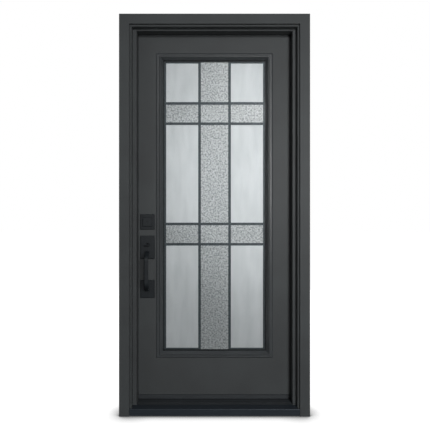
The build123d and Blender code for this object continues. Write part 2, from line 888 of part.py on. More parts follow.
# Timber and foam inside the slab
with BuildPart() as lock_stile:
    with BuildSketch(Plane.XY.offset(slab_lift)):
        with Locations((stile_width / 2 - core_x, slab_mid)):
            Rectangle(stile_width, core_depth)
    extrude(amount=slab_height)
    extrude(edge_bores.sketch, amount=-stile_width - overrun, mode=Mode.SUBTRACT)
    extrude(cross_bores.sketch, amount=-through_slab, mode=Mode.SUBTRACT)
    extrude(faceplate_outlines.sketch, amount=faceplate_thickness, mode=Mode.SUBTRACT)
    extrude(sweep_rebate.sketch, amount=rebate_length, mode=Mode.SUBTRACT)
    with Locations(*faceplate_screw_spots):
        add(small_screw_hole, mode=Mode.SUBTRACT)
lock_stile.part.label = "lock_stile"
export_step(lock_stile.part, "parts/lock_stile.step")

with BuildPart() as hinge_stile:
    with BuildSketch(Plane.XY.offset(slab_lift)):
        with Locations((core_x - stile_width / 2, slab_mid)):
            Rectangle(stile_width, core_depth)
    extrude(amount=slab_height)
    extrude(door_mortises.sketch, amount=-hinge_leaf, mode=Mode.SUBTRACT)
    extrude(sweep_rebate.sketch, amount=rebate_length, mode=Mode.SUBTRACT)
    with Locations(*door_leaf_spots):
        add(leaf_screw_hole, mode=Mode.SUBTRACT)
hinge_stile.part.label = "hinge_stile"
export_step(hinge_stile.part, "parts/hinge_stile.step")

with BuildPart() as top_rail:
    with BuildSketch(Plane.XY.offset(slab_top - top_rail_height)):
        with Locations((0, slab_mid)):
            Rectangle(2 * core_inner_x, core_depth)
    extrude(amount=top_rail_height)
top_rail.part.label = "top_rail"
export_step(top_rail.part, "parts/top_rail.step")

with BuildPart() as bottom_rail:
    with BuildSketch(Plane.XY.offset(slab_lift)):
        with Locations((0, slab_mid)):
            Rectangle(2 * core_inner_x, core_depth)
    extrude(amount=bottom_rail_height)
    extrude(sweep_rebate.sketch, amount=rebate_length, mode=Mode.SUBTRACT)
bottom_rail.part.label = "bottom_rail"
export_step(bottom_rail.part, "parts/bottom_rail.step")

block_centre = (latch_height + deadbolt_height) / 2
with BuildSketch(facing_y(0, core_front, 0, -1)) as lock_block_outline:
    with Locations((lock_block_width / 2 - core_inner_x, block_centre)):
        Rectangle(lock_block_width, lock_block_height)

with BuildPart() as lock_block:
    extrude(lock_block_outline.sketch, amount=-core_depth)
    extrude(cross_bores.sketch, amount=-through_slab, mode=Mode.SUBTRACT)
    extrude(edge_bores.sketch, amount=-case_length - overrun, mode=Mode.SUBTRACT)
lock_block.part.label = "lock_block"
export_step(lock_block.part, "parts/lock_block.step")

foam_bottom = slab_lift + bottom_rail_height
foam_height = slab_height - bottom_rail_height - top_rail_height
with BuildPart() as foam_core:
    with BuildSketch(Plane.XY.offset(foam_bottom)):
        with Locations((0, slab_mid)):
            Rectangle(2 * core_inner_x, core_depth)
    extrude(amount=foam_height)
    extrude(lite_cutout.sketch, amount=-through_slab, mode=Mode.SUBTRACT)
    extrude(lock_block_outline.sketch, amount=-core_depth, mode=Mode.SUBTRACT)
    extrude(grip_bore.sketch, amount=-through_slab, mode=Mode.SUBTRACT)
foam_core.part.label = "foam_core"
export_step(foam_core.part, "parts/foam_core.step")

# Moulded frames of the glazing, clamped together through the slab
leg_depth = slab_thickness / 2 - lite_fit / 2
with BuildSketch() as lite_profile:
    with BuildLine():
        quirk_end = lite_bead + lite_quirk
        ridge_end = lite_ridge_in + lite_ridge_width
        Line((0, 0), (0, lite_edge))
        bead = TangentArc((lite_bead, lite_bead_height), (0, lite_edge), tangent=(-1, 0))
        floor = Polyline(bead @ 0, (lite_bead, lite_quirk_floor), (quirk_end, lite_quirk_floor))
        cove = TangentArc(floor @ 1, (lite_ridge_in, lite_ridge), tangent=(1, 0))
        Polyline(
            cove @ 1,
            (ridge_end, lite_ridge),
            (lite_face, -lite_heel),
            (lite_face, -lite_seat),
            (lite_leg_in, -lite_seat),
            (lite_leg_in, -leg_depth),
            (lite_leg_out, -leg_depth),
            (lite_leg_out, 0),
            (0, 0),
        )
    make_face()

mitre_in = lite_face + overrun
for name, face_y, way in (
    ("lite_frame_exterior", slab_front, -1),
    ("lite_frame_interior", slab_back, 1),
):
    with BuildPart() as uprights:
        for side in (-1, 1):
            edge = Plane(
                origin=(side * lite_half_x, face_y, lite_centre),
                x_dir=(-side, 0, 0),
                z_dir=(0, 0, -side * way),
            )
            extrude(lite_profile.sketch.moved(edge.location), amount=lite_half_z, both=True)
        with BuildSketch(facing_y(0, slab_mid, lite_centre, -1)):
            for end in (-1, 1):
                with BuildLine():
                    Polyline(
                        (-lite_half_x - overrun, end * (lite_half_z + overrun)),
                        (lite_half_x + overrun, end * (lite_half_z + overrun)),
                        (lite_half_x - mitre_in, end * (lite_half_z - mitre_in)),
                        (mitre_in - lite_half_x, end * (lite_half_z - mitre_in)),
                        close=True,
                    )
                make_face()
        extrude(amount=slab_thickness, both=True, mode=Mode.SUBTRACT)
    with BuildPart() as crossbars:
        for end in (-1, 1):
            edge = Plane(
                origin=(0, face_y, lite_centre + end * lite_half_z),
                x_dir=(0, 0, -end),
                z_dir=(end * way, 0, 0),
            )
            extrude(lite_profile.sketch.moved(edge.location), amount=lite_half_x, both=True)
        with BuildSketch(facing_y(0, slab_mid, lite_centre, -1)):
            for side in (-1, 1):
                with BuildLine():
                    Polyline(
                        (side * (lite_half_x + overrun), -lite_half_z - overrun),
                        (side * (lite_half_x + overrun), lite_half_z + overrun),
                        (side * (lite_half_x - mitre_in), lite_half_z - mitre_in),
                        (side * (lite_half_x - mitre_in), mitre_in - lite_half_z),
                        close=True,
                    )
                make_face()
        extrude(amount=slab_thickness, both=True, mode=Mode.SUBTRACT)
    with BuildPart() as lite_frame:
        add(uprights.part)
        add(crossbars.part)
        with BuildSketch(facing_y(0, slab_mid, 0, -1)):
            with Locations(*clamp_points):
                Circle(clamp_screw_radius + screw_clear)
        hole_depth = slab_thickness if way > 0 else clamp_screw_bite + screw_clear
        extrude(amount=-way * hole_depth, mode=Mode.SUBTRACT)
        if way > 0:
            with BuildSketch(facing_y(0, slab_back + clamp_head_seat, 0, -1)):
                with Locations(*clamp_points):
                    Circle(clamp_head_radius + screw_clear)
            extrude(amount=-lite_ridge, mode=Mode.SUBTRACT)
    lite_frame.part.label = name
    export_step(lite_frame.part, f"parts/{name}.step")

with BuildPart() as clamp_screw:
    clamp_length = clamp_head_seat + slab_thickness / 2 + clamp_screw_bite
    with BuildSketch(Plane.XZ):
        with BuildLine():
            Polyline(
                (0, clamp_head_height),
                (clamp_head_radius, clamp_head_height),
                (clamp_head_radius, 0),
                (clamp_screw_radius, 0),
                (clamp_screw_radius, -clamp_length),
                (0, -clamp_length),
                close=True,
            )
        make_face()
    revolve(axis=Axis.Z)

with BuildPart() as lite_frame_screws:
    with Locations(*clamp_spots):
        add(clamp_screw.part)
lite_frame_screws.part.label = "lite_frame_screws"
export_step(lite_frame_screws.part, "parts/lite_frame_screws.step")

# Sealed glass unit
for name, start in (("outer_pane", outer_glass), ("inner_pane", inner_glass - pane_thickness)):
    with BuildPart() as pane:
        with BuildSketch(facing_y(0, start, lite_centre, 1)):
            Rectangle(glass_x, glass_z)
        extrude(amount=pane_thickness)
    pane.part.label = name
    export_step(pane.part, f"parts/{name}.step")

panel_front = outer_glass + pane_thickness + spacer_depth
panel_back = panel_front + came_depth
spacer_x = glass_x - 2 * glass_sealant
spacer_z = glass_z - 2 * glass_sealant
with BuildPart() as spacers:
    for start in (outer_glass + pane_thickness, panel_back):
        with BuildSketch(facing_y(0, start, lite_centre, 1)):
            Rectangle(spacer_x, spacer_z)
            Rectangle(spacer_x - 2 * spacer_width, spacer_z - 2 * spacer_width, mode=Mode.SUBTRACT)
        extrude(amount=spacer_depth)
spacers.part.label = "spacers"
export_step(spacers.part, "parts/spacers.step")

# Leaded panel: fifteen panes held in the cames' channels
border_x = border_inner_x + came_border
border_z = border_inner_z + came_border
heart = came_width / 2 - came_bite
edge_x = border_inner_x + came_bite
edge_z = border_inner_z + came_bite
columns = ((-edge_x, -came_x - heart), (heart - came_x, came_x - heart), (came_x + heart, edge_x))
rows = (
    (came_heights[0] + heart, edge_z),
    (came_heights[1] + heart, came_heights[0] - heart),
    (came_heights[2] + heart, came_heights[1] - heart),
    (came_heights[3] + heart, came_heights[2] - heart),
    (-edge_z, came_heights[3] - heart),
)
satin_boxes = []
granite_boxes = []
for column, (left, right) in enumerate(columns):
    for row, (low, high) in enumerate(rows):
        if column == 1:
            low = -border_z if row == 4 else low
            high = border_z if row == 0 else high
        box = ((left + right) / 2, (low + high) / 2, right - left, high - low)
        if column != 1 and row % 2 == 0:
            satin_boxes.append(box)
        else:
            granite_boxes.append(box)

art_front = slab_mid - art_glass / 2
for name, boxes in (("satin_panes", satin_boxes), ("granite_panes", granite_boxes)):
    with BuildPart() as panes:
        with BuildSketch(facing_y(0, art_front, lite_centre, -1)):
            for x, z, width, height in boxes:
                with Locations((x, z)):
                    Rectangle(width - 2 * came_fit, height - 2 * came_fit)
        extrude(amount=-art_glass)
    panes.part.label = name
    export_step(panes.part, f"parts/{name}.step")

with BuildPart() as came_lattice:
    for x, width in ((-came_x, came_width), (came_x, came_width)):
        with BuildSketch(Plane.XY.offset(lite_centre - border_z)):
            with Locations((x, slab_mid)):
                RectangleRounded(width, came_depth, came_round)
        extrude(amount=2 * border_z)
    for rise in came_heights:
        with BuildSketch(Plane.YZ.offset(-border_x)):
            with Locations((slab_mid, lite_centre + rise)):
                RectangleRounded(came_depth, came_width, came_round)
        extrude(amount=2 * border_x)
    with BuildSketch(facing_y(0, panel_front, lite_centre, -1)):
        for side in (-1, 1):
            with Locations((side * (border_x - came_border / 2), 0)):
                Rectangle(came_border, 2 * border_z)
            for end in (-1, 1):
                middle = (border_x + came_x) / 2
                with Locations((side * middle, end * (border_z - came_border / 2))):
                    Rectangle(border_x - came_x, came_border)
    extrude(amount=-came_depth)
    with BuildSketch(facing_y(0, art_front - came_fit, lite_centre, -1)):
        for x, z, width, height in satin_boxes + granite_boxes:
            with Locations((x, z)):
                Rectangle(width, height)
    extrude(amount=-art_glass - 2 * came_fit, mode=Mode.SUBTRACT)
came_lattice.part.label = "came_lattice"
export_step(came_lattice.part, "parts/came_lattice.step")

# Sweep under the slab
sweep_bottom = slab_lift - sweep_wall
with BuildPart() as door_sweep:
    with BuildSketch(Plane.YZ):
        with BuildLine():
            Polyline(
                (rebate_back - sweep_flange, sweep_bottom),
                (slab_back + sweep_wall, sweep_bottom),
                (slab_back + sweep_wall, slab_lift + sweep_back_rise),
                (slab_back, slab_lift + sweep_back_rise),
                (slab_back, slab_lift),
                (rebate_back, slab_lift),
                (rebate_back, rebate_top - sweep_fit),
                (rebate_back - sweep_tongue, rebate_top - sweep_fit),
                (rebate_back - sweep_tongue, rebate_top - sweep_groove),
                (rebate_back - sweep_flange, rebate_top - sweep_groove),
                close=True,
            )
        make_face()
        fin_height = sweep_bottom - cap_top - fin_clear
        for place in (rebate_back + fin_width, slab_mid, slab_back - fin_inset):
            with Locations((place, sweep_bottom - fin_height / 2)):
                Rectangle(fin_width, fin_height)
    extrude(amount=slab_x, both=True)
door_sweep.part.label = "door_sweep"
export_step(door_sweep.part, "parts/door_sweep.step")

# Latch and deadbolt cases with their faceplates
for name, height in (("latch_case", latch_height), ("deadbolt_case", deadbolt_height)):
    with BuildPart() as case:
        with BuildSketch(facing_x(-slab_x, slab_mid, height, 1)):
            RectangleRounded(faceplate_width, faceplate_height, faceplate_corner)
        extrude(amount=faceplate_thickness)
        with BuildSketch(facing_x(-slab_x, slab_mid, height, 1)):
            Circle(case_radius)
        extrude(amount=case_length)
        with BuildSketch(facing_x(-slab_x, slab_mid, height, 1)):
            Circle(case_bore_radius)
        extrude(amount=case_length - 2 * faceplate_thickness, mode=Mode.SUBTRACT)
        with BuildSketch(facing_y(lock_x, slab_front, height, 1)):
            Circle(case_window_radius)
        extrude(amount=slab_thickness, mode=Mode.SUBTRACT)
        with Locations(*faceplate_screw_spots):
            add(small_screw_hole, mode=Mode.SUBTRACT)
    case.part.label = name
    export_step(case.part, f"parts/{name}.step")

with BuildPart() as faceplate_screws:
    with Locations(*faceplate_screw_spots):
        add(small_screw)
faceplate_screws.part.label = "faceplate_screws"
export_step(faceplate_screws.part, "parts/faceplate_screws.step")

with BuildPart() as deadbolt:
    with BuildSketch(facing_x(bolt_inset - slab_x, slab_mid, deadbolt_height, 1)):
        Circle(bolt_radius)
    extrude(amount=bolt_length)
    chamfer(deadbolt.faces().sort_by(Axis.X)[0].edges(), length=bolt_chamfer)
deadbolt.part.label = "deadbolt"
export_step(deadbolt.part, "parts/deadbolt.step")

latch_tip = slab_x + latch_throw
with BuildPart() as latch_bolt:
    with BuildSketch(facing_x(-latch_tip, slab_mid, latch_height, 1)):
        Circle(bolt_radius)
    extrude(amount=latch_length)
    with BuildSketch(Plane.XY.offset(latch_height - bolt_radius - overrun)):
        with BuildLine():
            Polyline(
                (-latch_tip - overrun, slab_mid + latch_slope_start),
                (-latch_tip, slab_mid + latch_slope_start),
                (-slab_x, slab_mid - bolt_radius),
                (-slab_x, slab_mid - bolt_radius - overrun),
                (-latch_tip - overrun, slab_mid - bolt_radius - overrun),
                close=True,
            )
        make_face()
    extrude(amount=2 * (bolt_radius + overrun), mode=Mode.SUBTRACT)
latch_bolt.part.label = "latch_bolt"
export_step(latch_bolt.part, "parts/latch_bolt.step")

# Outside furniture
with BuildPart() as deadbolt_plate:
    with BuildSketch(facing_y(lock_x, slab_front, deadbolt_height, -1)):
        Rectangle(plate_width, deadbolt_plate_height)
    extrude(amount=plate_thickness)
    chamfer(deadbolt_plate.faces().sort_by(Axis.Y)[0].edges(), length=plate_chamfer)
    with BuildSketch(facing_y(lock_x, plate_front, deadbolt_height, -1)):
        Rectangle(deadbolt_block, deadbolt_block)
    extrude(amount=deadbolt_block_rise)
    chamfer(deadbolt_plate.faces().sort_by(Axis.Y)[0].edges(), length=plate_chamfer)
    with BuildSketch(facing_y(lock_x, slab_front, deadbolt_height, 1)):
        Circle(plate_boss_radius)
    extrude(amount=plate_boss_depth)
    with BuildSketch(facing_y(lock_x, plate_front - deadbolt_block_rise, deadbolt_height, 1)):
        Circle(plug_radius + plug_clear)
    extrude(amount=deadbolt_block_rise + plate_thickness + plate_boss_depth, mode=Mode.SUBTRACT)
    with Locations(*rose_screw_spots):
        add(rose_screw_hole, mode=Mode.SUBTRACT)
deadbolt_plate.part.label = "deadbolt_plate"
export_step(deadbolt_plate.part, "parts/deadbolt_plate.step")

plug_front = plate_front - deadbolt_block_rise - plug_proud
plug_back = slab_front + plate_boss_depth
with BuildPart() as key_plug:
    with BuildSketch(facing_y(lock_x, plug_front, deadbolt_height, 1)):
        Circle(plug_radius)
    extrude(amount=plug_back - plug_front)
    with BuildSketch(facing_y(lock_x, plug_front, deadbolt_height, 1)):
        Rectangle(keyway_width, keyway_height)
    extrude(amount=keyway_depth, mode=Mode.SUBTRACT)
key_plug.part.label = "key_plug"
export_step(key_plug.part, "parts/key_plug.step")

thumb_height = latch_height + thumb_rise
with BuildPart() as handle_plate:
    with BuildSketch(facing_y(lock_x, slab_front, latch_height, -1)):
        Rectangle(plate_width, handle_plate_height)
    extrude(amount=plate_thickness)
    chamfer(handle_plate.faces().sort_by(Axis.Y)[0].edges(), length=plate_chamfer)
    with BuildSketch(facing_y(lock_x, slab_front, latch_height, 1)):
        Circle(plate_boss_radius)
    extrude(amount=plate_boss_depth)
    with BuildSketch(facing_y(lock_x, plate_front, thumb_height, 1)):
        Rectangle(thumb_slot_width, thumb_slot_height)
    extrude(amount=plate_thickness + plate_boss_depth, mode=Mode.SUBTRACT)
    with BuildSketch(facing_y(lock_x, slab_front + plate_boss_depth, latch_height, -1)):
        Circle(case_window_radius)
    extrude(amount=plate_boss_depth, mode=Mode.SUBTRACT)
    with Locations(*rose_screw_spots):
        add(rose_screw_hole, mode=Mode.SUBTRACT)
handle_plate.part.label = "handle_plate"
export_step(handle_plate.part, "parts/handle_plate.step")

with BuildPart() as thumb_piece:
    paddle_root = plate_front - thumb_root_gap
    paddle_tip = plate_front - thumb_reach
    with BuildSketch(Plane(origin=(lock_x, 0, thumb_height), x_dir=(0, 1, 0), z_dir=(1, 0, 0))) as side:
        with BuildLine():
            top = ThreePointArc(
                (paddle_tip, thumb_thickness / 2),
                ((paddle_tip + paddle_root) / 2, thumb_thickness / 2 - thumb_sag),
                (paddle_root, thumb_thickness / 2),
            )
            Line(top @ 1, (paddle_root, -thumb_thickness))
            under = ThreePointArc(
                (paddle_root, -thumb_thickness),
                ((paddle_tip + paddle_root) / 2, -thumb_thickness / 2 - thumb_sag),
                (paddle_tip, -thumb_thickness / 2),
            )
            Line(under @ 1, top @ 0)
        make_face()
    extrude(amount=thumb_width / 2, both=True)
    with BuildSketch(facing_y(lock_x, paddle_root, thumb_height, 1)):
        Rectangle(thumb_stem, thumb_stem_height)
    extrude(amount=slab_front - paddle_root + thumb_tail)
thumb_piece.part.label = "thumb_piece"
export_step(thumb_piece.part, "parts/thumb_piece.step")

with BuildPart() as grip_plate:
    with BuildSketch(facing_y(lock_x, slab_front, grip_plate_centre, -1)):
        Rectangle(plate_width, grip_plate_height)
    extrude(amount=plate_thickness)
    chamfer(grip_plate.faces().sort_by(Axis.Y)[0].edges(), length=plate_chamfer)
    with BuildSketch(facing_y(lock_x, slab_front, grip_plate_centre, -1)):
        Circle(grip_bolt_radius + screw_clear)
    extrude(amount=grip_bolt_bite + screw_clear, mode=Mode.SUBTRACT)
grip_plate.part.label = "grip_plate"
export_step(grip_plate.part, "parts/grip_plate.step")

with BuildPart() as grip:
    with BuildLine(Plane(origin=(lock_x, 0, 0), x_dir=(0, 1, 0), z_dir=(1, 0, 0))) as bow:
        FilletPolyline(
            (plate_front, grip_top),
            (plate_front - grip_foot, grip_top),
            (plate_front - grip_reach, grip_top - grip_shoulder),
            (plate_front - grip_reach, grip_bottom + grip_shoulder),
            (plate_front - grip_foot, grip_bottom),
            (plate_front, grip_bottom),
            radius=(grip_foot_bend, grip_bend, grip_bend, grip_foot_bend),
        )
    with BuildSketch(facing_y(lock_x, plate_front, grip_top, -1)):
        RectangleRounded(grip_width, grip_thickness, grip_edge)
    sweep(path=bow.wire())
grip.part.label = "grip"
export_step(grip.part, "parts/grip.step")

with BuildPart() as grip_bolt:
    with BuildSketch(facing_y(lock_x, slab_back, grip_plate_centre, 1)):
        Circle(grip_bolt_head)
    extrude(amount=grip_bolt_head_height)
    chamfer(grip_bolt.faces().sort_by(Axis.Y)[-1].edges(), length=grip_bolt_head_height / 2)
    with BuildSketch(facing_y(lock_x, slab_back, grip_plate_centre, -1)):
        Circle(grip_bolt_radius)
    extrude(amount=slab_thickness + grip_bolt_bite)
grip_bolt.part.label = "grip_bolt"
export_step(grip_bolt.part, "parts/grip_bolt.step")

# Inside furniture
for name, height in (("lever_rose", latch_height), ("deadbolt_rose", deadbolt_height)):
    with BuildPart() as rose:
        with BuildSketch(facing_y(lock_x, slab_back, height, 1)):
            Rectangle(rose_width, rose_width)
        extrude(amount=rose_thickness)
        chamfer(rose.faces().sort_by(Axis.Y)[-1].edges(), length=plate_chamfer)
        with BuildSketch(facing_y(lock_x, slab_back, height, 1)):
            Circle(rose_hole_radius)
        extrude(amount=rose_thickness, mode=Mode.SUBTRACT)
        with Locations(*rose_screw_spots):
            add(rose_screw_hole, mode=Mode.SUBTRACT)
    rose.part.label = name
    export_step(rose.part, f"parts/{name}.step")

with BuildPart() as lock_screws:
    with Locations(*rose_screw_spots):
        add(rose_screw)
lock_screws.part.label = "lock_screws"
export_step(lock_screws.part, "parts/lock_screws.step")

with BuildPart() as lever:
    lever_front = rose_back + lever_stand - lever_thickness
    with BuildSketch(facing_y(lock_x, lever_front, latch_height, 1)):
        with Locations(((lever_length - lever_height) / 2, 0)):
            Rectangle(lever_length, lever_height)
    extrude(amount=lever_thickness)
    fillet(lever.edges().group_by(Axis.Y)[-1], radius=lever_edge)
    with BuildSketch(facing_y(lock_x, slab_back, latch_height, 1)):
        Circle(hub_radius)
    extrude(amount=lever_front - slab_back)
    with BuildSketch(facing_y(lock_x, slab_back, latch_height, -1)):
        Rectangle(spindle, spindle)
    extrude(amount=slab_thickness - plate_boss_depth + spindle_end)
lever.part.label = "lever"
export_step(lever.part, "parts/lever.step")

with BuildPart() as thumb_turn:
    with BuildSketch(facing_y(lock_x, rose_back + hub_clear, deadbolt_height, 1)):
        SlotOverall(turn_length, turn_width, rotation=90)
    extrude(amount=turn_reach)
    fillet(thumb_turn.edges().group_by(Axis.Y)[-1], radius=lever_edge)
    with BuildSketch(facing_y(lock_x, slab_back, deadbolt_height, 1)):
        Circle(hub_radius)
    extrude(amount=rose_thickness + hub_clear)
    with BuildSketch(facing_y(lock_x, slab_back, deadbolt_height, -1)):
        Rectangle(blade_width, blade_height)
    extrude(amount=slab_thickness - plate_boss_depth - blade_gap)
thumb_turn.part.label = "thumb_turn"
export_step(thumb_turn.part, "parts/thumb_turn.step")
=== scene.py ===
import bpy
import json
import math
import numpy as np
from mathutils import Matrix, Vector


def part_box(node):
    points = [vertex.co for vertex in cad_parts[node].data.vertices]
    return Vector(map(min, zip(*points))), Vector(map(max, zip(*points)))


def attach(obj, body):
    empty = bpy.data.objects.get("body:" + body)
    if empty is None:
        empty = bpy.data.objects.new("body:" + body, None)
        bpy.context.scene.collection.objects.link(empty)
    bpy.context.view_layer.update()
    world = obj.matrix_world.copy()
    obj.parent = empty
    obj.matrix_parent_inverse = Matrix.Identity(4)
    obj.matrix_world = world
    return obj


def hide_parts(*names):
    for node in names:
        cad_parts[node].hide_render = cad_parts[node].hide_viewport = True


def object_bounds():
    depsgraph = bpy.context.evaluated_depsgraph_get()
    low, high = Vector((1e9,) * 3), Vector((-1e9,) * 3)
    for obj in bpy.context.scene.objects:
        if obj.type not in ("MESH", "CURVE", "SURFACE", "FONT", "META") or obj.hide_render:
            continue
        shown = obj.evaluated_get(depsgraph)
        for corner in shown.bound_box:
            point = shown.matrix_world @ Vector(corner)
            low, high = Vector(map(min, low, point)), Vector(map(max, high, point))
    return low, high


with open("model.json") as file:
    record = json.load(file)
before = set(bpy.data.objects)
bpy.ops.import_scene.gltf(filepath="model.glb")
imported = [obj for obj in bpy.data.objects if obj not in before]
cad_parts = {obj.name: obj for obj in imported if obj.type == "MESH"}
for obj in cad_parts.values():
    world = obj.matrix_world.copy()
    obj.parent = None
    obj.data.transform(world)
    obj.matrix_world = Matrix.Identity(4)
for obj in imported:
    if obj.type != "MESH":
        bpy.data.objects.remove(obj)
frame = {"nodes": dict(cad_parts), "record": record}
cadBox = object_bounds()
nodes = frame["nodes"]
record = frame["record"]
mm = 0.001
print("frame loaded:", len(nodes), "nodes")


def toLinear(hexText):
    # sRGB hex to the linear colour that the shaders take
    values = [int(hexText[i : i + 2], 16) / 255 for i in (1, 3, 5)]
    return tuple(v / 12.92 if v <= 0.04045 else ((v + 0.055) / 1.055) ** 2.4 for v in values) + (1.0,)


def addNode(tree, kind, settings=None, links=None):
    # one node: its properties and socket values, then the sockets that feed it
    node = tree.nodes.new(kind)
    for name, value in (settings or {}).items():
        if isinstance(name, int) or name in node.inputs:
            node.inputs[name].default_value = value
        else:
            setattr(node, name, value)
    for name, source in (links or {}).items():
        tree.links.new(source, node.inputs[name])
    return node


def addPattern(tree, settings):
    # cloud pattern with features of a size in metres, drawn out along an axis by stretch
    place = addNode(tree, "ShaderNodeTexCoord")
    scale = tuple(1 / (settings["size"] * s) for s in settings.get("stretch", (1, 1, 1)))
    mapped = addNode(tree, "ShaderNodeMapping", {"Scale": scale}, {"Vector": place.outputs["Object"]})
    noise = addNode(
        tree,
        "ShaderNodeTexNoise",
        {"Scale": 1.0, "Detail": settings.get("detail", 3.0)},
        {"Vector": mapped.outputs["Vector"]},
    )
    return noise.outputs["Fac"]


def makeFinish(name, surface, tone=None, relief=None):
    # tone: colour from dark to light as its pattern rises between two values
    # relief: small bumps, their height in metres from the pattern's dark to its light
    material = bpy.data.materials.new(name)
    material.use_nodes = True
    tree = material.node_tree
    shader = tree.nodes["Principled BSDF"]
    for socket, value in surface.items():
        shader.inputs[socket].default_value = value
    if tone:
        ramp = addNode(tree, "ShaderNodeValToRGB", links={"Fac": addPattern(tree, tone)})
        ends = zip(tone.get("between", (0.3, 0.7)), (tone["dark"], tone["light"]))
        for stop, (place, colour) in zip(ramp.color_ramp.elements, ends):
            stop.position = place
            stop.color = toLinear(colour)
        tree.links.new(ramp.outputs["Color"], shader.inputs["Base Color"])
    if relief:
        bump = addNode(
            tree,
            "ShaderNodeBump",
            {"Strength": relief["strength"], "Distance": relief["height"]},
            {"Height": addPattern(tree, relief)},
        )
        tree.links.new(bump.outputs["Normal"], shader.inputs["Normal"])
    return material


